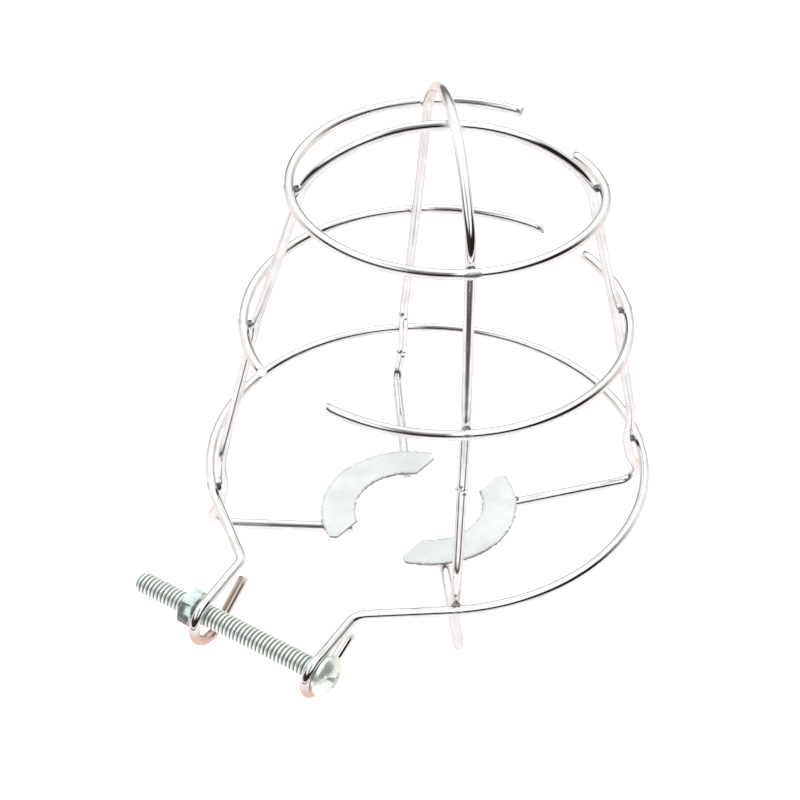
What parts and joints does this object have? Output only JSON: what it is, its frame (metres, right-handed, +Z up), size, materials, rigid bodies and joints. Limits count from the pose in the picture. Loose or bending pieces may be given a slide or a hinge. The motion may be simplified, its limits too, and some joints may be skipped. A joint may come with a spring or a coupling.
{
  "type": "wire lamp guard",
  "caption": "Domed wire guard for a heat lamp: crossed arch wires inside three rings, collar plates for the lamp holder, and a clamp ring closed by a screw and nut.",
  "frame": {"origin": "centre of the bounding box at the underside of the four feet", "axes": "+Z up through the dome, -Y towards the clamp, +X along the clamp screw towards its head"},
  "size_m": [0.1328, 0.1599, 0.1424],
  "materials": {
    "plated_wire": "bright plated, polished",
    "plated_sheet": "satin zinc plate",
    "zinc_screw": "bright zinc plate",
    "zinc_nut": "bright zinc plate"
  },
  "bodies": {
    "cage": {"upper_arch_wire": "plated_wire", "lower_arch_wire": "plated_wire", "top_ring": "plated_wire", "middle_ring_right_half": "plated_wire", "middle_ring_left_half": "plated_wire", "clamp_ring": "plated_wire", "collar_plate_right": "plated_sheet", "collar_plate_left": "plated_sheet"},
    "screw": {"clamp_screw": "zinc_screw"},
    "nut": {"clamp_nut": "zinc_nut"}
  },
  "joints": [
    {"name": "screw_spin", "type": "hinge", "parent": "cage", "child": "screw", "pos_m": [0, -0.07224, 0.01542], "axis": [1, 0, 0], "range_deg": [0, 3965]},
    {"name": "nut_travel", "type": "slide", "parent": "cage", "child": "nut", "axis": [-1, 0, 0], "range_m": [0, 0.01397]}
  ],
  "couplings": [
    {"joint": "screw_spin", "follows": "nut_travel", "rad_per_m": 4947.4}
  ]
}
